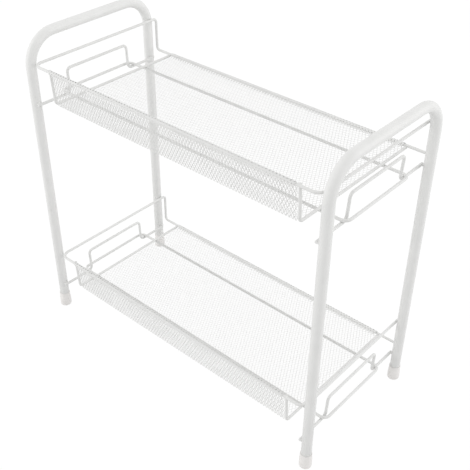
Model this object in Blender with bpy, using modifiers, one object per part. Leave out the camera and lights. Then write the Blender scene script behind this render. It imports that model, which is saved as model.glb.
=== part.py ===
"""Two-tier countertop organizer shelf: two bent tube end frames and two lift-off mesh trays.

Units are metres. +X runs along the shelf, +Y to its back and +Z up. The origin lies on the
surface that the shelf stands on, below the middle of its overall width and depth.
"""
import math

import bmesh
import bpy
from mathutils import Vector

OBJECT_NAME = "countertop_organizer_shelf"

# Clearance between pieces that touch on the real shelf
GAP = 0.0003

# End frames, between the centre lines of their tubes
FRAME_SPACING = 0.437
LEG_SPACING = 0.191
TUBE_DIAMETER = 0.0127
HANDLE_HEIGHT = 0.4055
TUBE_BEND_RADIUS = 0.0375

# Foot caps, each a cup around the end of a leg
CAP_WALL = 0.0006
CAP_FLOOR = 0.0025
CAP_HEIGHT = 0.021
CAP_SKIRT_HEIGHT = 0.013
CAP_SKIRT_WALL = 0.0004
CAP_EDGE = 0.0006

# Support wires, welded to the legs, each with a raised loop that the tray hooks over
SUPPORT_DIAMETER = 0.0036
LOWER_SUPPORT_HEIGHT = 0.0395
TIER_SPACING = 0.2826
SUPPORT_PAST_LEG = 0.0035
LOOP_LENGTH = 0.098
LOOP_RISE = 0.0318
LOOP_LEAN = 0.0018
LOOP_FOOT_RADIUS = 0.0065
LOOP_TOP_RADIUS = 0.0055

# Hook frame under each tray, which rests on the support wires around their loops
HOOK_DIAMETER = 0.0036
HOOK_CLEARANCE = 0.0005
HOOK_CORNER_RADIUS = 0.008

# Rim wire of each tray, one closed loop
RIM_DIAMETER = 0.0035
WALL_HEIGHT = 0.0458
RIM_FRONT_REACH = 0.0015
RIM_REAR_REACH = 0.0083
RIM_FRONT_CORNER_RADIUS = 0.011
RIM_REAR_CORNER_RADIUS = 0.0048

# End wires of each tray, from behind the front rim down and back along the floor
END_WIRE_DIAMETER = 0.0035
END_WIRE_INSET = 0.0342
END_WIRE_BEND_RADIUS = 0.0045
WALL_SETBACK = 0.0059

# Expanded metal sheet of each tray, as a coarse net between its end wires
SHEET_THICKNESS = 0.0008
STRAND_WIDTH = 0.0030
NET_COLUMNS = 12
FLOOR_ROWS = 4
WALL_ROWS = 1
HEM_ANGLE = math.radians(255)
HEM_STEPS = 10

# Facets
ARC_STEPS = 7
WIRE_ROUNDNESS = 2
TUBE_ROUNDNESS = 5
CAP_FACETS = 24

# Finishes: colour, roughness and metallic value
POWDER_COAT = ((0.86, 0.86, 0.85), 0.42, 0.0)
SHEET_COAT = ((0.88, 0.88, 0.87), 0.5, 0.0)
CAP_PLASTIC = ((0.83, 0.80, 0.76), 0.55, 0.0)

# Radii and places that follow from the values above
TUBE_RADIUS = TUBE_DIAMETER / 2
SUPPORT_RADIUS = SUPPORT_DIAMETER / 2
HOOK_RADIUS = HOOK_DIAMETER / 2
RIM_RADIUS = RIM_DIAMETER / 2
END_WIRE_RADIUS = END_WIRE_DIAMETER / 2
LEG_X = FRAME_SPACING / 2
LEG_Y = LEG_SPACING / 2
LEG_INNER_FACE = LEG_X - TUBE_RADIUS
CAP_BORE_RADIUS = TUBE_RADIUS + GAP
CAP_COLLAR_RADIUS = CAP_BORE_RADIUS + CAP_WALL
CAP_SKIRT_RADIUS = CAP_COLLAR_RADIUS + CAP_SKIRT_WALL
SUPPORT_X = LEG_INNER_FACE - GAP - SUPPORT_RADIUS
RIM_X = LEG_INNER_FACE - GAP - RIM_RADIUS
LOOP_TOP_X = SUPPORT_X + LOOP_LEAN
HOOK_X = LOOP_TOP_X + SUPPORT_RADIUS + HOOK_CLEARANCE + HOOK_RADIUS
HOOK_Y = LOOP_LENGTH / 2 + LOOP_FOOT_RADIUS + HOOK_RADIUS
END_WIRE_X = LEG_X - END_WIRE_INSET
SHEET_WIDTH = 2 * (END_WIRE_X - END_WIRE_RADIUS - GAP)
RIM_FRONT_Y = -LEG_Y - RIM_FRONT_REACH
RIM_REAR_Y = LEG_Y + RIM_REAR_REACH

# Heights in a tray above the support wire's centre line
HOOK_Z = SUPPORT_RADIUS + GAP + HOOK_RADIUS
SHEET_Z = HOOK_Z + HOOK_RADIUS + GAP + SHEET_THICKNESS / 2
END_WIRE_Z = HOOK_Z + HOOK_RADIUS + GAP + END_WIRE_RADIUS
REAR_EDGE_Z = SHEET_Z + SHEET_THICKNESS / 2 + GAP + RIM_RADIUS
RIM_Z = SHEET_Z + WALL_HEIGHT

# Hem of the sheet around the rim wire
HEM_RADIUS = RIM_RADIUS + GAP + SHEET_THICKNESS / 2
HEM_OUTER_RADIUS = HEM_RADIUS + SHEET_THICKNESS / 2

# Shift that brings the middle of the overall depth over the origin
FRONT_EXTENT = LEG_Y + CAP_SKIRT_RADIUS
REAR_EXTENT = RIM_REAR_Y + HEM_OUTER_RADIUS
DEPTH_SHIFT = (FRONT_EXTENT - REAR_EXTENT) / 2

SIDES = (("left", -1), ("right", 1))
TIERS = (("lower", LOWER_SUPPORT_HEIGHT), ("upper", LOWER_SUPPORT_HEIGHT + TIER_SPACING))


def clear_scene():
    for item in list(bpy.data.objects):
        bpy.data.objects.remove(item, do_unlink=True)


def make_collection():
    collection = bpy.data.collections.new(OBJECT_NAME)
    bpy.context.scene.collection.children.link(collection)
    return collection


def add_material(item, finish):
    colour, roughness, metallic = finish
    material = bpy.data.materials.new(item.name + "_finish")
    material.use_nodes = True
    shader = material.node_tree.nodes["Principled BSDF"]
    shader.inputs["Base Color"].default_value = (*colour, 1.0)
    shader.inputs["Roughness"].default_value = roughness
    shader.inputs["Metallic"].default_value = metallic
    item.data.materials.append(material)


def add_empty(collection, name, location, parent=None):
    empty = bpy.data.objects.new(name, None)
    empty.location = location
    empty.parent = parent
    collection.objects.link(empty)
    return empty


def add_object(collection, name, data, finish, parent):
    item = bpy.data.objects.new(name, data)
    collection.objects.link(item)
    item.parent = parent
    add_material(item, finish)
    return item


def rounded_corner(before, corner, after, radius):
    """Points of the arc that rounds one corner of a path."""
    back = (before - corner).normalized()
    ahead = (after - corner).normalized()
    half_angle = back.angle(ahead) / 2
    centre = corner + (back + ahead).normalized() * radius / math.sin(half_angle)
    trim = radius / math.tan(half_angle)
    start = (corner + back * trim - centre).normalized()
    end = (corner + ahead * trim - centre).normalized()
    return [centre + start.slerp(end, step / ARC_STEPS) * radius for step in range(ARC_STEPS + 1)]


def rounded_path(corners, radii):
    """Path through the corners, each rounded by its own radius, or left as it is where that is 0."""
    corners = [Vector(corner) for corner in corners]
    points = []
    for index, corner in enumerate(corners):
        if radii[index] == 0:
            points.append(corner)
            continue
        before = corners[index - 1]
        after = corners[(index + 1) % len(corners)]
        points.extend(rounded_corner(before, corner, after, radii[index]))
    return points


def wire_curve(name, points, radius, roundness, closed=False):
    curve = bpy.data.curves.new(name, "CURVE")
    curve.dimensions = "3D"
    curve.bevel_depth = radius
    curve.bevel_resolution = roundness
    curve.use_fill_caps = not closed
    spline = curve.splines.new("POLY")
    spline.points.add(len(points) - 1)
    for spline_point, point in zip(spline.points, points):
        spline_point.co = (*point, 1.0)
    spline.use_cyclic_u = closed
    spline.use_smooth = True
    return curve


def make_end_tube(collection, side_name, side, frames):
    """Inverted U of bent tube: a front leg, the handle bar and a rear leg."""
    x = side * LEG_X
    corners = [
        (x, -LEG_Y, CAP_FLOOR + GAP),
        (x, -LEG_Y, HANDLE_HEIGHT),
        (x, LEG_Y, HANDLE_HEIGHT),
        (x, LEG_Y, CAP_FLOOR + GAP),
    ]
    points = rounded_path(corners, [0, TUBE_BEND_RADIUS, TUBE_BEND_RADIUS, 0])
    name = side_name + "_end_tube"
    curve = wire_curve(name, points, TUBE_RADIUS, TUBE_ROUNDNESS)
    add_object(collection, name, curve, POWDER_COAT, frames)


def cap_profile():
    """Half section of a foot cap, from its inner floor over the rim and down its outer side."""
    return [
        (0.0, CAP_FLOOR),
        (CAP_BORE_RADIUS, CAP_FLOOR),
        (CAP_BORE_RADIUS, CAP_HEIGHT),
        (CAP_COLLAR_RADIUS - CAP_EDGE / 2, CAP_HEIGHT),
        (CAP_COLLAR_RADIUS, CAP_HEIGHT - CAP_EDGE / 2),
        (CAP_COLLAR_RADIUS, CAP_SKIRT_HEIGHT + CAP_EDGE),
        (CAP_SKIRT_RADIUS, CAP_SKIRT_HEIGHT),
        (CAP_SKIRT_RADIUS, CAP_EDGE),
        (CAP_SKIRT_RADIUS - CAP_EDGE, 0.0),
        (0.0, 0.0),
    ]


def make_cap_mesh(name):
    mesh = bpy.data.meshes.new(name)
    outline = bmesh.new()
    corners = [outline.verts.new((radius, 0.0, height)) for radius, height in cap_profile()]
    for first, second in zip(corners[:-1], corners[1:]):
        outline.edges.new((first, second))
    outline.to_mesh(mesh)
    outline.free()
    return mesh


def make_foot_cap(collection, name, x, y, frames):
    cap = add_object(collection, name, make_cap_mesh(name), CAP_PLASTIC, frames)
    cap.location = (x, y, 0.0)
    turn = cap.modifiers.new("Turn", "SCREW")
    turn.axis = "Z"
    turn.angle = math.tau
    turn.steps = CAP_FACETS
    turn.render_steps = CAP_FACETS
    turn.use_merge_vertices = True
    turn.merge_threshold = 0.00001
    turn.use_smooth_shade = True


def make_support_wire(collection, name, side, height, frames):
    """Wire from past the front leg to the rear leg along their inner sides, with a raised loop."""
    x = side * SUPPORT_X
    top_x = side * LOOP_TOP_X
    loop_y = LOOP_LENGTH / 2
    top = height + LOOP_RISE
    corners = [
        (x, -LEG_Y - SUPPORT_PAST_LEG, height),
        (x, -loop_y, height),
        (top_x, -loop_y, top),
        (top_x, loop_y, top),
        (x, loop_y, height),
        (x, LEG_Y, height),
    ]
    radii = [0, LOOP_FOOT_RADIUS, LOOP_TOP_RADIUS, LOOP_TOP_RADIUS, LOOP_FOOT_RADIUS, 0]
    curve = wire_curve(name, rounded_path(corners, radii), SUPPORT_RADIUS, WIRE_ROUNDNESS)
    add_object(collection, name, curve, POWDER_COAT, frames)


def make_hook_frame(collection, name, tray):
    """Closed frame under the sheet, whose end bars pass outside the support wires' loops."""
    corners = [
        (-HOOK_X, -HOOK_Y, HOOK_Z),
        (HOOK_X, -HOOK_Y, HOOK_Z),
        (HOOK_X, HOOK_Y, HOOK_Z),
        (-HOOK_X, HOOK_Y, HOOK_Z),
    ]
    points = rounded_path(corners, [HOOK_CORNER_RADIUS] * 4)
    curve = wire_curve(name, points, HOOK_RADIUS, WIRE_ROUNDNESS, closed=True)
    add_object(collection, name, curve, POWDER_COAT, tray)


def make_rim_wire(collection, name, tray):
    """Closed loop: front rim, both end guards, down behind the rear legs and along the back."""
    corners = [
        (-RIM_X, RIM_FRONT_Y, RIM_Z),
        (RIM_X, RIM_FRONT_Y, RIM_Z),
        (RIM_X, RIM_REAR_Y, RIM_Z),
        (RIM_X, RIM_REAR_Y, REAR_EDGE_Z),
        (-RIM_X, RIM_REAR_Y, REAR_EDGE_Z),
        (-RIM_X, RIM_REAR_Y, RIM_Z),
    ]
    front = [RIM_FRONT_CORNER_RADIUS] * 2
    rear = [RIM_REAR_CORNER_RADIUS] * 4
    points = rounded_path(corners, front + rear)
    curve = wire_curve(name, points, RIM_RADIUS, WIRE_ROUNDNESS, closed=True)
    add_object(collection, name, curve, POWDER_COAT, tray)


def make_end_wire(collection, name, side, tray):
    """Wire at one end of the sheet, up behind the front rim and back over the hook frame."""
    corners = [
        (side * END_WIRE_X, RIM_FRONT_Y + RIM_RADIUS + GAP + END_WIRE_RADIUS, RIM_Z - RIM_RADIUS),
        (side * END_WIRE_X, RIM_FRONT_Y + WALL_SETBACK, END_WIRE_Z),
        (side * END_WIRE_X, RIM_REAR_Y - RIM_RADIUS - GAP, END_WIRE_Z),
    ]
    points = rounded_path(corners, [0, END_WIRE_BEND_RADIUS, 0])
    curve = wire_curve(name, points, END_WIRE_RADIUS, WIRE_ROUNDNESS)
    add_object(collection, name, curve, POWDER_COAT, tray)


def make_net_mesh(name, length, rows, hem_side):
    """Flat net of diamonds in the XY plane, with a hem rolled up at its far edge."""
    net = bmesh.new()
    bmesh.ops.create_grid(net, x_segments=NET_COLUMNS, y_segments=rows, size=0.5)
    for vertex in net.verts:
        vertex.co = Vector((vertex.co.x * SHEET_WIDTH, (vertex.co.y + 0.5) * length, 0.0))
    inner_edges = [edge for edge in net.edges if not edge.is_boundary]
    bmesh.ops.poke(net, faces=net.faces[:])
    bmesh.ops.dissolve_edges(net, edges=inner_edges)
    openings = net.faces[:]
    bmesh.ops.inset_individual(net, faces=openings, thickness=STRAND_WIDTH / 2, use_even_offset=True)
    bmesh.ops.delete(net, geom=openings, context="FACES_ONLY")
    far_edges = [edge for edge in net.edges if min(end.co.y for end in edge.verts) > length - GAP]
    far_ends = {end for edge in far_edges for end in edge.verts}
    bmesh.ops.spin(
        net,
        geom=far_edges + list(far_ends),
        cent=(0.0, length, hem_side * HEM_RADIUS),
        axis=(1.0, 0.0, 0.0),
        angle=hem_side * HEM_ANGLE,
        steps=HEM_STEPS,
    )
    mesh = bpy.data.meshes.new(name)
    net.to_mesh(mesh)
    net.free()
    return mesh


def make_sheet(collection, name, length, rows, hem_side, tray):
    mesh = make_net_mesh(name, length, rows, hem_side)
    sheet = add_object(collection, name, mesh, SHEET_COAT, tray)
    thickness = sheet.modifiers.new("Thickness", "SOLIDIFY")
    thickness.thickness = SHEET_THICKNESS
    thickness.offset = 0.0
    thickness.use_even_offset = True
    return sheet


def wall_slope():
    """Direction up the front wall, from the fold to the inner side of the rim's hem."""
    rise = Vector((0.0, -WALL_SETBACK, RIM_Z - SHEET_Z))
    lean = math.atan2(rise.z, rise.y) - math.asin(HEM_RADIUS / rise.length)
    return Vector((0.0, math.cos(lean), math.sin(lean)))


def make_sheets(collection, tier_name, tray):
    """Floor and front wall of the sheet, which meet at the fold."""
    slope = wall_slope()
    outward = Vector((0.0, -slope.z, slope.y))
    wall_top = Vector((0.0, RIM_FRONT_Y, RIM_Z)) - outward * HEM_RADIUS
    wall_bottom_z = SHEET_Z + SHEET_THICKNESS / 2 + GAP + outward.z * SHEET_THICKNESS / 2
    wall_length = (wall_top.z - wall_bottom_z) / slope.z
    wall_foot = wall_top - slope * wall_length
    wall = make_sheet(collection, tier_name + "_front_mesh", wall_length, WALL_ROWS, 1, tray)
    wall.location = wall_foot
    wall.rotation_euler.x = math.atan2(slope.z, slope.y)
    floor_front = wall_foot.y - SHEET_THICKNESS / 2
    floor_length = RIM_REAR_Y - floor_front
    floor = make_sheet(collection, tier_name + "_floor_mesh", floor_length, FLOOR_ROWS, 1, tray)
    floor.location = (0.0, floor_front, SHEET_Z)


def make_tray(collection, tier_name, height, shelf):
    tray = add_empty(collection, tier_name + "_tray_lift", (0.0, 0.0, height), shelf)
    make_rim_wire(collection, tier_name + "_rim_wire", tray)
    make_hook_frame(collection, tier_name + "_hook_frame", tray)
    for side_name, side in SIDES:
        make_end_wire(collection, f"{tier_name}_{side_name}_end_wire", side, tray)
    make_sheets(collection, tier_name, tray)


def make_end_frames(collection, shelf):
    frames = add_empty(collection, "end_frames", (0.0, 0.0, 0.0), shelf)
    for side_name, side in SIDES:
        make_end_tube(collection, side_name, side, frames)
        for end_name, end in (("front", -1), ("rear", 1)):
            cap_name = f"{side_name}_{end_name}_foot_cap"
            make_foot_cap(collection, cap_name, side * LEG_X, end * LEG_Y, frames)
        for tier_name, height in TIERS:
            wire_name = f"{tier_name}_{side_name}_support_wire"
            make_support_wire(collection, wire_name, side, height, frames)


def main():
    clear_scene()
    collection = make_collection()
    shelf = add_empty(collection, "shelf_middle", (0.0, DEPTH_SHIFT, 0.0))
    make_end_frames(collection, shelf)
    for tier_name, height in TIERS:
        make_tray(collection, tier_name, height, shelf)
    bpy.context.view_layer.update()


main()
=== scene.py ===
import math

import bmesh
import bpy
import numpy as np
from mathutils import Matrix, Vector, noise


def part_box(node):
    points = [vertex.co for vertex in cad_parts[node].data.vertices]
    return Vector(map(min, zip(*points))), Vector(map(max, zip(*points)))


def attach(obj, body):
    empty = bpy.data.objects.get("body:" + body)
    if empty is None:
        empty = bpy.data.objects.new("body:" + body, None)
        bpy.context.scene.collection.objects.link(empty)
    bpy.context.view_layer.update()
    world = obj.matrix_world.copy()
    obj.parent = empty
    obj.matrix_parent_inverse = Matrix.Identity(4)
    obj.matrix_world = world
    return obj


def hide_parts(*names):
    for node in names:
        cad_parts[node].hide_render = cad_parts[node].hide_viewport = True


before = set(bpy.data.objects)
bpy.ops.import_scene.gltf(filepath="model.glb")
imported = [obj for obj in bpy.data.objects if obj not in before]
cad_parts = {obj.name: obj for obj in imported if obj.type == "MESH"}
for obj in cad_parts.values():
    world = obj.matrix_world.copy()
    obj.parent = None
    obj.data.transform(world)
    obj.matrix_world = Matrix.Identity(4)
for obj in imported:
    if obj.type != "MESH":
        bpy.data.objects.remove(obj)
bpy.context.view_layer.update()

TIERS = ("lower", "upper")
SIDES = {"left": -1, "right": 1}
LEG_ENDS = ("front", "rear")

# Sections of the wire and tube, in metres, as in the CAD
TUBE_RADIUS = 0.00635
SUPPORT_RADIUS = 0.0018
HOOK_RADIUS = 0.0018
RIM_RADIUS = 0.00175
END_WIRE_RADIUS = 0.00175

# Bends of the wire and tube, at their centre lines
TUBE_BEND = 0.0375
LOOP_FOOT_BEND = 0.0065
LOOP_TOP_BEND = 0.0055
HOOK_BEND = 0.008
RIM_FRONT_BEND = 0.011
RIM_REAR_BEND = 0.0048
END_WIRE_BEND = 0.0045

# Raised loop of a support wire, along the leg's side
LOOP_LENGTH = 0.098

# Cut ends of the wire, as shares of its radius
CUT_INSETS = np.array([0.0, 0.08, 0.25])
CUT_RADII = np.array([0.72, 0.9, 1.0])

# Foot caps, whose foot is rounded at these insets and heights
CAP_PLAY = 0.00003
CAP_FLOOR = 0.0025
CAP_STEP = 0.00045
CAP_SKIRT_HEIGHT = 0.013
CAP_EDGE = 0.0001
CAP_LIP = 0.0003
CAP_FILLET = 0.0004
CAP_FOOT_ROUND = ((0.0, 0.0016), (0.0002, 0.0008), (0.0007, 0.0002), (0.0015, 0.0))
CAP_TREAD = 0.0028
CAP_HOLLOW = 0.0031
CAP_HOLLOW_DEPTH = 0.0004

# Welds, as lumpy beads between the support wires and the legs
WELD_RADII = (0.0013, 0.0036, 0.0023)
WELD_SINK = 0.0001
LUMP_SIZE = 0.12
LUMP_SCALE = 2.3
LUMP_SHIFT = (90, 70, 5)

# Depth to which the top of an end wire is welded into the rim
WELD_BITE = 0.0002

# Expanded metal, whose diamonds run front to back
SHEET_THICKNESS = 0.0008
GAP = 0.0003
WALL_SETBACK = 0.0059
FOLD_RADIUS = 0.0015
NET_COLUMNS = 85
ROW_PITCH = 0.00767
STRAND_CREST = 0.00006
STRAND_EDGE = 0.00005

# Width of a strand and rise of its inner edge, in the open net and pressed flat in the hems
OPEN_STRAND = (0.00053, 0.00046)
HEM_STRAND = (0.0024, 0.00005)

# Hems, each rolled round a wire of the rim and ending in a straight tail
HEM_RADIUS = RIM_RADIUS + GAP + SHEET_THICKNESS / 2
REAR_HEM_SHIFT = 0.00017
REAR_WRAP = math.radians(215)
REAR_TAIL = 0.0054
FRONT_WRAP = math.radians(180)
FRONT_TAIL = 0.004

# Fineness of the meshes
TUBE_SIDES = 48
WIRE_SIDES = 20
CAP_SIDES = 64
BEAD_SUBDIVISIONS = 4
BEND_STEP = math.radians(7)
FEWEST_BEND_STEPS = 3
SHARP_ANGLE = math.radians(40)

# Slope of its first stretch from which a rod counts as upright
UPRIGHT = 0.9

# Steps of a strand where the sheet is curved, and the places along it where that is tested
CURVE_STEPS = 4
CURVE_TESTS = np.array([0.25, 0.5, 0.75])

# Grid on which the corners of neighbouring strands are joined, in points per metre
JOIN_GRID = 1e8

# Faces of a strand by its corners, and the face that it has where no diamond lies beyond it
STRAND_QUADS = ((1, 0, 3, 2), (2, 3, 5, 4), (4, 5, 7, 6))
OUTER_QUAD = (0, 1, 6, 7)

# Row and column steps to the diamond beyond each strand of a diamond
BEYOND = ((1, 1), (1, -1), (-1, -1), (-1, 1))

# Powder coat, as shares of its colour and depths in metres
MOTTLE_SCALE = 38.0
MOTTLE_BAND = (0.3, 0.7)
MOTTLE_DARK = 0.965
MOTTLE_LIGHT = 1.015
GLOSS_SCALE = 160.0
GLOSS_SPREAD = 0.06
PEEL_DEPTH = 0.0001
DUST_DEPTH = 0.00003
DUST_FINENESS = 5
COAT_IOR = 1.45

# Studio
FLOOR_SIZE = 12.0
FLOOR_TONE = 0.8
FLOOR_ROUGHNESS = 0.9
FLOOR_GLOW = 1.03
FLOOR_GLOW_SHARE = 0.93
FILL_STRENGTH = 0.93
LIT_POINT = Vector((0.0, 0.0, 0.2))

# Camera, fitted to the photograph
PHOTO_WIDTH = 470
FOCAL_PIXELS = 811.82
SENSOR_WIDTH = 36.0
CLIP_START = 0.01
CLIP_END = 50.0
CAMERA_PLACE = (0.5564, -0.6171, 0.7777)
YAW = math.radians(-40.908)
PITCH = math.radians(35.969)
ROLL = math.radians(-0.563)


# Shapes
def path_through(corners, bends):
    """Points through the corners, with an arc of its own radius at each."""
    corners = [Vector(corner) for corner in corners]
    points = []
    for index, (corner, bend) in enumerate(zip(corners, bends)):
        if bend == 0:
            points.append(corner)
            continue
        back = (corners[index - 1] - corner).normalized()
        ahead = (corners[(index + 1) % len(corners)] - corner).normalized()
        half = back.angle(ahead) / 2
        centre = corner + (back + ahead).normalized() * bend / math.sin(half)
        trim = bend / math.tan(half)
        start = (corner + back * trim - centre).normalized()
        end = (corner + ahead * trim - centre).normalized()
        steps = max(FEWEST_BEND_STEPS, math.ceil((math.pi - 2 * half) / BEND_STEP))
        points += [centre + start.slerp(end, step / steps) * bend for step in range(steps + 1)]
    return np.array(points)


def smooth_piece(name, mesh, material):
    mesh.polygons.foreach_set("use_smooth", [True] * len(mesh.polygons))
    mesh.materials.append(material)
    piece = bpy.data.objects.new(name, mesh)
    bpy.context.scene.collection.objects.link(piece)
    return piece


def new_piece(name, points, faces, material):
    """Piece that is smooth except across its sharp edges."""
    mesh = bpy.data.meshes.new(name)
    mesh.from_pydata(np.asarray(points).tolist(), [], faces)
    piece = smooth_piece(name, mesh, material)
    mesh.set_sharp_from_angle(angle=SHARP_ANGLE)
    mesh.update()
    return piece


def broken_edges(path, radius):
    """The path and its radius at each point, with the edges broken at both cut ends."""
    ahead = path[1] - path[0]
    back = path[-2] - path[-1]
    insets = CUT_INSETS * radius
    first = path[0] + np.outer(insets, ahead / np.linalg.norm(ahead))
    last = path[-1] + np.outer(insets[::-1], back / np.linalg.norm(back))
    shares = np.concatenate([CUT_RADII, np.ones(len(path) - 2), CUT_RADII[::-1]])
    return np.vstack([first, path[1:-1], last]), shares * radius


def rings_along(path, sizes, sides, closed):
    """Rings of points round a path, carried along it without a twist."""
    before = np.roll(path, 1, 0)
    after = np.roll(path, -1, 0)
    if not closed:
        before[0] = path[0]
        after[-1] = path[-1]
    along = after - before
    along /= np.linalg.norm(along, axis=1)[:, None]
    side = np.cross(along[0], (0.0, 0.0, 1.0) if abs(along[0][2]) < UPRIGHT else (1.0, 0.0, 0.0))
    angles = np.arange(sides) / sides * math.tau
    rings = []
    for point, direction, size in zip(path, along, sizes):
        side = side - direction * side.dot(direction)
        side /= np.linalg.norm(side)
        up = np.cross(direction, side)
        rings.append(point + size * (np.outer(np.cos(angles), side) + np.outer(np.sin(angles), up)))
    return rings


def closing_turn(first, last):
    """How many corners the last ring of a closed loop is turned against the first."""
    turned_rings = [np.roll(last, turn, 0) for turn in range(len(first))]
    return int(np.argmin([np.linalg.norm(first - ring, axis=1).sum() for ring in turned_rings]))


def rod(name, path, radius, sides, material, closed=False):
    """Round bar along a path, which is a closed loop or cut off at both ends."""
    if closed:
        sizes = np.full(len(path), radius)
    else:
        path, sizes = broken_edges(path, radius)
    rings = rings_along(path, sizes, sides, closed)
    count = len(rings)
    ring = np.arange(sides)
    onward = (ring + 1) % sides
    faces = []
    for index in range(count if closed else count - 1):
        low = index * sides
        high = (index + 1) % count * sides
        turn = closing_turn(rings[0], rings[-1]) if index == count - 1 else 0
        above = high + (ring + turn) % sides
        above_onward = high + (onward + turn) % sides
        faces += np.stack([low + ring, low + onward, above_onward, above], 1).tolist()
    if not closed:
        faces.append(ring[::-1].tolist())
        faces.append(((count - 1) * sides + ring).tolist())
    return new_piece(name, np.vstack(rings), faces, material)


def turned(name, profile, centre, sides, material):
    """Solid turned about a vertical axis, from a half section of (radius, height) pairs."""
    angles = np.arange(sides) / sides * math.tau
    points = []
    faces = []
    rows = []
    for radius, height in profile:
        if radius == 0:
            rows.append([len(points)] * sides)
            points.append((centre.x, centre.y, height))
            continue
        rows.append(list(range(len(points), len(points) + sides)))
        for angle in angles:
            x = centre.x + radius * math.cos(angle)
            y = centre.y + radius * math.sin(angle)
            points.append((x, y, height))
    for low, high in zip(rows[:-1], rows[1:]):
        for a in range(sides):
            b = (a + 1) % sides
            faces.append(list(dict.fromkeys([low[b], low[a], high[a], high[b]])))
    return new_piece(name, points, faces, material)


# Materials
def coat(name, colour, roughness, grain, bump):
    """Powder coat: a slightly mottled paint with a fine orange peel."""
    material = bpy.data.materials.new(name)
    material.use_nodes = True
    nodes = material.node_tree.nodes
    links = material.node_tree.links
    shader = nodes["Principled BSDF"]
    shader.inputs["IOR"].default_value = COAT_IOR
    place = nodes.new("ShaderNodeTexCoord")

    def cloud(scale, detail, spread=0.5):
        cell = nodes.new("ShaderNodeTexNoise")
        cell.inputs["Scale"].default_value = scale
        cell.inputs["Detail"].default_value = detail
        cell.inputs["Roughness"].default_value = spread
        links.new(place.outputs["Object"], cell.inputs["Vector"])
        return cell.outputs["Fac"]

    def relief(height, strength, depth):
        cell = nodes.new("ShaderNodeBump")
        cell.inputs["Strength"].default_value = strength
        cell.inputs["Distance"].default_value = depth
        links.new(height, cell.inputs["Height"])
        return cell

    tint = nodes.new("ShaderNodeValToRGB")
    dark, light = tint.color_ramp.elements
    dark.position, light.position = MOTTLE_BAND
    dark.color = (*[share * MOTTLE_DARK for share in colour], 1.0)
    light.color = (*[min(1.0, share * MOTTLE_LIGHT) for share in colour], 1.0)
    links.new(cloud(MOTTLE_SCALE, detail=4.0, spread=0.6), tint.inputs["Fac"])
    links.new(tint.outputs["Color"], shader.inputs["Base Color"])

    gloss = nodes.new("ShaderNodeMapRange")
    gloss.inputs["To Min"].default_value = roughness - GLOSS_SPREAD
    gloss.inputs["To Max"].default_value = roughness + GLOSS_SPREAD
    links.new(cloud(GLOSS_SCALE, detail=3.0), gloss.inputs["Value"])
    links.new(gloss.outputs["Result"], shader.inputs["Roughness"])

    peel = relief(cloud(grain, detail=2.0), bump, PEEL_DEPTH)
    dust = relief(cloud(grain * DUST_FINENESS, detail=1.0), bump / 2, DUST_DEPTH)
    links.new(peel.outputs["Normal"], dust.inputs["Normal"])
    links.new(dust.outputs["Normal"], shader.inputs["Normal"])
    return material


tube_coat = coat("tube_powder_coat", (0.78, 0.78, 0.77), roughness=0.42, grain=650.0, bump=0.35)
wire_coat = coat("wire_powder_coat", (0.76, 0.76, 0.75), roughness=0.45, grain=900.0, bump=0.3)
# The nets take the same powder coat as the tubes, painted lighter: painted light, standing in for
# the brighter light on the nets
net_coat_painted_light = coat("net_powder_coat_painted_light", (0.84, 0.84, 0.83), roughness=0.5, grain=1500.0, bump=0.25)
# The hems take the same powder coat painted darker: painted shade, standing in for the shade in the
# rolled hems
hem_coat_painted_shade = coat("hem_powder_coat_painted_shade", (0.77, 0.77, 0.76), roughness=0.5, grain=1100.0, bump=0.3)
foot_plastic = coat("foot_cap_plastic", (0.82, 0.80, 0.785), roughness=0.55, grain=1200.0, bump=0.2)


# Places in the CAD
def middle(node):
    low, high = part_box(node)
    return (low + high) / 2


def centre_lines(node, radius):
    """Outermost centre lines of a bent wire or tube, as (low, high) along X, Y and Z."""
    low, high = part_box(node)
    return [(first + radius, last - radius) for first, last in zip(low, high)]


def stand_in(piece, body, node):
    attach(piece, body)
    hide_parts(node)


# End frames
def end_tube(side_name):
    node = side_name + "_end_tube"
    leg_x = middle(node).x
    front_y = middle(side_name + "_front_foot_cap").y
    rear_y = middle(side_name + "_rear_foot_cap").y
    foot_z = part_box(node)[0].z
    bar_z = centre_lines(node, TUBE_RADIUS)[2][1]
    corners = [
        (leg_x, front_y, foot_z),
        (leg_x, front_y, bar_z),
        (leg_x, rear_y, bar_z),
        (leg_x, rear_y, foot_z),
    ]
    path = path_through(corners, [0, TUBE_BEND, TUBE_BEND, 0])
    tube = rod(side_name + "_tube", path, TUBE_RADIUS, TUBE_SIDES, tube_coat)
    stand_in(tube, "end_frames", node)


def foot_cap(side_name, end_name):
    """Cup on the end of a leg, turned from the middle of its floor over its wall to its hollow."""
    node = f"{side_name}_{end_name}_foot_cap"
    low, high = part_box(node)
    skirt = (high.x - low.x) / 2
    bore = TUBE_RADIUS + CAP_PLAY
    collar = skirt - CAP_STEP
    profile = [
        (0.0, CAP_FLOOR),
        (bore, CAP_FLOOR),
        (bore, high.z - CAP_EDGE),
        (bore + CAP_EDGE, high.z),
        (collar - CAP_LIP, high.z),
        (collar - CAP_EDGE, high.z - CAP_EDGE),
        (collar, high.z - CAP_FILLET),
        (collar, CAP_SKIRT_HEIGHT + 2 * CAP_FILLET),
        (collar + CAP_EDGE, CAP_SKIRT_HEIGHT + CAP_FILLET),
        (skirt - CAP_EDGE, CAP_SKIRT_HEIGHT),
        (skirt, CAP_SKIRT_HEIGHT - CAP_FILLET),
        *[(skirt - inset, height) for inset, height in CAP_FOOT_ROUND],
        (skirt - CAP_TREAD, 0.0),
        (skirt - CAP_HOLLOW, CAP_HOLLOW_DEPTH),
        (0.0, CAP_HOLLOW_DEPTH),
    ]
    cap = turned(f"{side_name}_{end_name}_cap", profile, middle(node), CAP_SIDES, foot_plastic)
    stand_in(cap, "end_frames", node)


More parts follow.
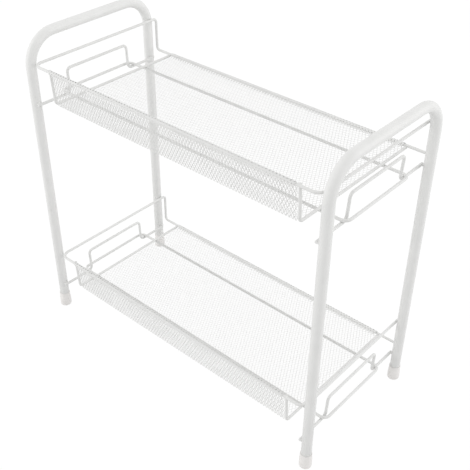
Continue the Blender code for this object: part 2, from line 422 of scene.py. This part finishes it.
def support_wire(tier, side_name):
    """Wire along the inner side of both legs, with the loop that the tray hooks over."""
    node = f"{tier}_{side_name}_support_wire"
    low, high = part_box(node)
    across, _, (foot_z, top_z) = centre_lines(node, SUPPORT_RADIUS)
    foot_x, top_x = across if SIDES[side_name] > 0 else across[::-1]
    mid_y = middle(tier + "_hook_frame").y
    loop_front = mid_y - LOOP_LENGTH / 2
    loop_rear = mid_y + LOOP_LENGTH / 2
    corners = [
        (foot_x, low.y, foot_z),
        (foot_x, loop_front, foot_z),
        (top_x, loop_front, top_z),
        (top_x, loop_rear, top_z),
        (foot_x, loop_rear, foot_z),
        (foot_x, high.y, foot_z),
    ]
    bends = [0, LOOP_FOOT_BEND, LOOP_TOP_BEND, LOOP_TOP_BEND, LOOP_FOOT_BEND, 0]
    path = path_through(corners, bends)
    wire = rod(f"{tier}_{side_name}_support", path, SUPPORT_RADIUS, WIRE_SIDES, wire_coat)
    stand_in(wire, "end_frames", node)


def weld_bead(tier, side_name, end_name):
    """Weld where a support wire crosses a leg."""
    side = SIDES[side_name]
    leg_x = middle(side_name + "_end_tube").x
    weld_y = middle(f"{side_name}_{end_name}_foot_cap").y
    weld_z = centre_lines(f"{tier}_{side_name}_support_wire", SUPPORT_RADIUS)[2][0]
    shift = Vector((weld_y * LUMP_SHIFT[0], weld_z * LUMP_SHIFT[1], side * LUMP_SHIFT[2]))
    bead = bmesh.new()
    bmesh.ops.create_icosphere(bead, subdivisions=BEAD_SUBDIVISIONS, radius=1.0)
    for vertex in bead.verts:
        swell = 1 + LUMP_SIZE * noise.noise(vertex.co * LUMP_SCALE + shift)
        vertex.co = vertex.co * Vector(WELD_RADII) * swell
    name = f"{tier}_{side_name}_{end_name}_weld"
    mesh = bpy.data.meshes.new(name)
    bead.to_mesh(mesh)
    bead.free()
    weld = smooth_piece(name, mesh, tube_coat)
    weld.location = (leg_x - side * (TUBE_RADIUS - WELD_SINK), weld_y, weld_z)
    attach(weld, "end_frames")


# Trays
def tray_rim(tier):
    """Closed loop of the front rim, both end guards, two rear posts and the rear edge."""
    node = tier + "_rim_wire"
    (left, right), (front, rear), (edge_z, rim_z) = centre_lines(node, RIM_RADIUS)
    corners = [
        (left, front, rim_z),
        (right, front, rim_z),
        (right, rear, rim_z),
        (right, rear, edge_z),
        (left, rear, edge_z),
        (left, rear, rim_z),
    ]
    path = path_through(corners, [RIM_FRONT_BEND] * 2 + [RIM_REAR_BEND] * 4)
    rim = rod(tier + "_rim", path, RIM_RADIUS, WIRE_SIDES, wire_coat, closed=True)
    stand_in(rim, tier + "_tray", node)


def tray_hook(tier):
    """Rectangle of wire under the mesh that hooks over the support wires' loops."""
    node = tier + "_hook_frame"
    (left, right), (near, far), _ = centre_lines(node, HOOK_RADIUS)
    level = middle(node).z
    corners = [(left, near, level), (right, near, level), (right, far, level), (left, far, level)]
    path = path_through(corners, [HOOK_BEND] * 4)
    hook = rod(tier + "_hook", path, HOOK_RADIUS, WIRE_SIDES, wire_coat, closed=True)
    stand_in(hook, tier + "_tray", node)


def end_guard(tier, side_name):
    """Wire beside the mesh, from behind the front rim down and back to the rear edge."""
    node = f"{tier}_{side_name}_end_wire"
    _, (front, _), (_, rim_z) = centre_lines(tier + "_rim_wire", RIM_RADIUS)
    low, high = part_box(node)
    x = middle(node).x
    floor_z = low.z + END_WIRE_RADIUS
    corners = [
        (x, front + RIM_RADIUS + END_WIRE_RADIUS - WELD_BITE, rim_z + WELD_BITE),
        (x, front + WALL_SETBACK, floor_z),
        (x, high.y, floor_z),
    ]
    path = path_through(corners, [0, END_WIRE_BEND, 0])
    wire = rod(f"{tier}_{side_name}_guard", path, END_WIRE_RADIUS, WIRE_SIDES, wire_coat)
    stand_in(wire, tier + "_tray", node)


# Expanded metal of the trays
def heading(angle):
    """Unit vectors in the YZ plane at angles from +Y towards +Z."""
    return np.stack([np.cos(angle), np.sin(angle)], 1)


def crosswise(angle):
    """Unit vectors in the YZ plane, a quarter turn on from heading."""
    return np.stack([-np.sin(angle), np.cos(angle)], 1)


class Sheet:
    """Middle line of a tray's sheet in the YZ plane, from its rear tail to its front tail."""

    PARTS = ("rear_tail", "rear_hem", "floor", "fold", "wall", "front_hem", "front_tail")

    def __init__(self, tier):
        rim_low, rim_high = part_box(tier + "_rim_wire")
        mesh_low, mesh_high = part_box(tier + "_floor_mesh")
        self.width = mesh_high.x - mesh_low.x
        self.floor_z = mesh_low.z + SHEET_THICKNESS / 2
        self.rear = np.array([rim_high.y - RIM_RADIUS - REAR_HEM_SHIFT, rim_low.z + RIM_RADIUS])
        self.front = np.array([rim_low.y + RIM_RADIUS, rim_high.z - RIM_RADIUS])
        self.corner_y = self.front[0] + WALL_SETBACK

        # The wall meets the front hem as a tangent, on the inner side of the rim
        rise = self.front - (self.corner_y, self.floor_z)
        lean = math.atan2(rise[1], rise[0]) - math.asin(HEM_RADIUS / np.linalg.norm(rise))
        self.slope = np.array([math.cos(lean), math.sin(lean)])
        self.inward = np.array([self.slope[1], -self.slope[0]])
        self.top = self.front + self.inward * HEM_RADIUS
        turn = math.pi - lean
        self.trim = FOLD_RADIUS * math.tan(turn / 2)

        # Distance along the line at which each part ends
        lengths = (
            REAR_TAIL,
            HEM_RADIUS * REAR_WRAP,
            self.rear[0] - self.corner_y - self.trim,
            FOLD_RADIUS * turn,
            (self.top[1] - self.floor_z) / self.slope[1] - self.trim,
            HEM_RADIUS * FRONT_WRAP,
            FRONT_TAIL,
        )
        self.ends = dict(zip(self.PARTS, np.cumsum(lengths)))

        # Half rows of diamonds, a whole number over the line's length
        half_rows = round(self.ends["front_tail"] / (ROW_PITCH / 2))
        self.half_row = self.ends["front_tail"] / half_rows
        self.last_row = half_rows - 1

    def place(self, s):
        """Points and normals at distances along the line, with True where it is curved."""
        s = np.asarray(s, float)
        part = np.array(self.PARTS)[np.searchsorted(list(self.ends.values())[:-1], s)]
        point = np.empty((len(s), 2))
        normal = np.empty((len(s), 2))

        pick = np.isin(part, ("rear_tail", "rear_hem"))
        angle = np.clip((self.ends["rear_hem"] - s[pick]) / HEM_RADIUS, 0, REAR_WRAP)
        tail = np.clip(REAR_TAIL - s[pick], 0, None)[:, None]
        normal[pick] = crosswise(angle)
        point[pick] = self.rear - normal[pick] * HEM_RADIUS + heading(angle) * tail

        pick = part == "floor"
        normal[pick] = (0, 1)
        point[pick, 0] = self.rear[0] - (s[pick] - self.ends["rear_hem"])
        point[pick, 1] = self.floor_z

        pick = part == "fold"
        centre = np.array([self.corner_y + self.trim, self.floor_z + FOLD_RADIUS])
        normal[pick] = crosswise((self.ends["floor"] - s[pick]) / FOLD_RADIUS)
        point[pick] = centre - normal[pick] * FOLD_RADIUS

        pick = part == "wall"
        normal[pick] = self.inward
        point[pick] = self.top - self.slope * (self.ends["wall"] - s[pick])[:, None]

        pick = np.isin(part, ("front_hem", "front_tail"))
        wrap = np.clip((s[pick] - self.ends["wall"]) / HEM_RADIUS, 0, FRONT_WRAP)
        angle = math.atan2(self.inward[1], self.inward[0]) + wrap
        tail = np.clip(s[pick] - self.ends["front_hem"], 0, None)[:, None]
        normal[pick] = heading(angle)
        point[pick] = self.front + normal[pick] * HEM_RADIUS + crosswise(angle) * tail
        return point, normal, np.isin(part, ("rear_hem", "fold", "front_hem"))


def strand_corners(start, end, shrink, slant):
    """Eight corners of a strand: its crest and its inner edge, on both faces, at both ends."""
    inner_start = start * shrink
    inner_end = end * shrink
    start_rise = -slant * start[0]
    end_rise = -slant * end[0]
    return np.array([
        (*start, STRAND_CREST),
        (*end, STRAND_CREST),
        (*inner_end, end_rise + STRAND_EDGE),
        (*inner_start, start_rise + STRAND_EDGE),
        (*inner_end, end_rise - STRAND_EDGE),
        (*inner_start, start_rise - STRAND_EDGE),
        (*end, -STRAND_CREST),
        (*start, -STRAND_CREST),
    ])


def net_piece(name, sheet, rows, strand, material):
    """Expanded metal over part of a sheet, as diamonds with a crest along each strand.

    rows are the first and last row of diamond centres, and strand is the width of a strand and
    the rise of its inner edge at the diamond's side corners.
    """
    half_x = sheet.width / NET_COLUMNS / 2
    half_s = sheet.half_row
    last_column = 2 * NET_COLUMNS - 1
    strand_width, strand_rise = strand
    shrink = 1 - strand_width / (2 * half_x * half_s / math.hypot(half_x, half_s))
    slant = strand_rise / half_x
    tips = np.array([(1, 0), (0, 1), (-1, 0), (0, -1)], float) * (half_x, half_s)

    quads = []
    for row in range(rows[0], rows[1] + 1):
        columns = np.arange(1 + row % 2, last_column + 1, 2)
        centres = np.zeros((len(columns), 1, 3))
        centres[:, 0, 0] = columns * half_x - sheet.width / 2
        centres[:, 0, 1] = row * half_s
        for turn, (row_step, column_step) in enumerate(BEYOND):
            first, last = tips[turn], tips[(turn + 1) % 4]
            neighbours = columns + column_step
            alone = (neighbours < 1) | (neighbours > last_column)
            if not rows[0] <= row + row_step <= rows[1]:
                alone[:] = True
            curved = sheet.place(row * half_s + (first[1] + last[1]) * CURVE_TESTS)[2].any()
            steps = CURVE_STEPS if curved else 1
            for step in range(steps):
                start = first + (last - first) * step / steps
                end = first + (last - first) * (step + 1) / steps
                corners = centres + strand_corners(start, end, shrink, slant)
                quads += [corners[:, quad] for quad in STRAND_QUADS]
                quads.append(corners[alone][:, OUTER_QUAD])

    corners = np.concatenate(quads).reshape(-1, 3)
    steps_of_grid = np.round(corners * JOIN_GRID).astype(np.int64)
    keys, index = np.unique(steps_of_grid, axis=0, return_inverse=True)
    flat = keys / JOIN_GRID
    point, normal, _ = sheet.place(flat[:, 1])
    points = np.hstack([flat[:, :1], point + normal * flat[:, 2:3]])
    return new_piece(name, points, index.reshape(-1, 4).tolist(), material)


def tray_mesh(tier):
    """The sheet as a floor, a front wall and two hems."""
    body = tier + "_tray"
    sheet = Sheet(tier)
    rear_hem = int(sheet.ends["rear_hem"] / sheet.half_row)
    fold = round(sheet.ends["floor"] / sheet.half_row)
    front_hem = int(sheet.ends["wall"] / sheet.half_row) + 1
    open_rows = {"floor": (rear_hem + 1, fold), "wall": (fold + 1, front_hem - 1)}
    hem_rows = {"rear": (1, rear_hem), "front": (front_hem, sheet.last_row)}
    nodes = {"floor": tier + "_floor_mesh", "wall": tier + "_front_mesh"}
    for part, rows in open_rows.items():
        # The open nets get the lighter coat, which is painted light
        net = net_piece(f"{tier}_{part}_net", sheet, rows, OPEN_STRAND, net_coat_painted_light)
        stand_in(net, body, nodes[part])
    for part, rows in hem_rows.items():
        # The hems get the darker coat, which is painted shade
        hem = net_piece(f"{tier}_{part}_hem", sheet, rows, HEM_STRAND, hem_coat_painted_shade)
        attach(hem, body)


for side_name in SIDES:
    end_tube(side_name)
    for end_name in LEG_ENDS:
        foot_cap(side_name, end_name)
for tier in TIERS:
    for side_name in SIDES:
        support_wire(tier, side_name)
for tier in TIERS:
    for side_name in SIDES:
        for end_name in LEG_ENDS:
            weld_bead(tier, side_name, end_name)
for tier in TIERS:
    tray_rim(tier)
    tray_hook(tier)
    for side_name in SIDES:
        end_guard(tier, side_name)
    tray_mesh(tier)


# Floor and backdrop, which look white to the camera and in reflections
def backdrop_ray(tree):
    """Socket that is 1 for the rays that see the backdrop: camera, glossy and transmission rays."""
    rays = tree.nodes.new("ShaderNodeLightPath")
    seen = rays.outputs["Is Camera Ray"]
    for kind in ("Is Glossy Ray", "Is Transmission Ray"):
        either = tree.nodes.new("ShaderNodeMath")
        either.operation = "MAXIMUM"
        tree.links.new(seen, either.inputs[0])
        tree.links.new(rays.outputs[kind], either.inputs[1])
        seen = either.outputs[0]
    return seen


def blended(tree, share, first, second, output):
    """Sends one shader to the output, with a share of a second one."""
    blend = tree.nodes.new("ShaderNodeMixShader")
    tree.links.new(share, blend.inputs["Fac"])
    tree.links.new(first, blend.inputs[1])
    tree.links.new(second, blend.inputs[2])
    tree.links.new(blend.outputs["Shader"], output)


def studio_floor():
    paper = bpy.data.materials.new("studio_paper")
    paper.use_nodes = True
    tree = paper.node_tree
    matt = tree.nodes["Principled BSDF"]
    matt.inputs["Base Color"].default_value = (FLOOR_TONE, FLOOR_TONE, FLOOR_TONE, 1.0)
    matt.inputs["Roughness"].default_value = FLOOR_ROUGHNESS
    matt.inputs["Specular IOR Level"].default_value = 0.0
    glow = tree.nodes.new("ShaderNodeEmission")
    glow.inputs["Strength"].default_value = FLOOR_GLOW
    share = tree.nodes.new("ShaderNodeMath")
    share.operation = "MULTIPLY"
    share.inputs[1].default_value = FLOOR_GLOW_SHARE
    tree.links.new(backdrop_ray(tree), share.inputs[0])
    surface = tree.nodes["Material Output"].inputs["Surface"]
    blended(tree, share.outputs[0], matt.outputs["BSDF"], glow.outputs["Emission"], surface)

    bpy.ops.mesh.primitive_plane_add(size=FLOOR_SIZE, location=(0.0, 0.0, 0.0))
    floor = bpy.context.object
    floor.name = "studio_floor"
    floor.data.materials.append(paper)


def studio_world():
    world = bpy.data.worlds.new("studio")
    world.use_nodes = True
    tree = world.node_tree
    fill = tree.nodes["Background"]
    fill.inputs["Color"].default_value = (1.0, 1.0, 1.0, 1.0)
    fill.inputs["Strength"].default_value = FILL_STRENGTH
    white = tree.nodes.new("ShaderNodeBackground")
    white.inputs["Color"].default_value = (1.0, 1.0, 1.0, 1.0)
    white.inputs["Strength"].default_value = 1.0
    surface = tree.nodes["World Output"].inputs["Surface"]
    lit, seen = fill.outputs["Background"], white.outputs["Background"]
    blended(tree, backdrop_ray(tree), lit, seen, surface)
    bpy.context.scene.world = world


def soft_box(name, place, size, power):
    lamp = bpy.data.lights.new(name, "AREA")
    lamp.shape = "RECTANGLE"
    lamp.size, lamp.size_y = size
    lamp.energy = power
    holder = bpy.data.objects.new(name, lamp)
    bpy.context.scene.collection.objects.link(holder)
    holder.location = place
    holder.rotation_euler = (LIT_POINT - Vector(place)).to_track_quat("-Z", "Y").to_euler()


def photo_camera():
    level = math.cos(PITCH)
    ahead = Vector((math.sin(YAW) * level, math.cos(YAW) * level, -math.sin(PITCH)))
    right = Vector((math.cos(YAW), -math.sin(YAW), 0.0))
    down = ahead.cross(right)
    image_right = math.cos(ROLL) * right + math.sin(ROLL) * down
    image_down = -math.sin(ROLL) * right + math.cos(ROLL) * down
    lens = bpy.data.cameras.new("photo_camera")
    lens.sensor_width = SENSOR_WIDTH
    lens.lens = FOCAL_PIXELS / PHOTO_WIDTH * SENSOR_WIDTH
    lens.clip_start = CLIP_START
    lens.clip_end = CLIP_END
    camera = bpy.data.objects.new("photo_camera", lens)
    bpy.context.scene.collection.objects.link(camera)
    turn = Matrix((image_right, -image_down, -ahead)).transposed().to_4x4()
    camera.matrix_world = Matrix.Translation(CAMERA_PLACE) @ turn
    bpy.context.scene.camera = camera


studio_floor()
studio_world()
soft_box("top_box", (0.0, 0.1, 1.6), size=(1.6, 1.2), power=0.8)
soft_box("left_box", (-1.25, -1.15, 0.6), size=(1.1, 1.3), power=6.0)
soft_box("right_box", (1.3, 1.15, 0.6), size=(1.1, 1.3), power=6.0)
photo_camera()
bpy.context.scene.view_settings.view_transform = "Standard"
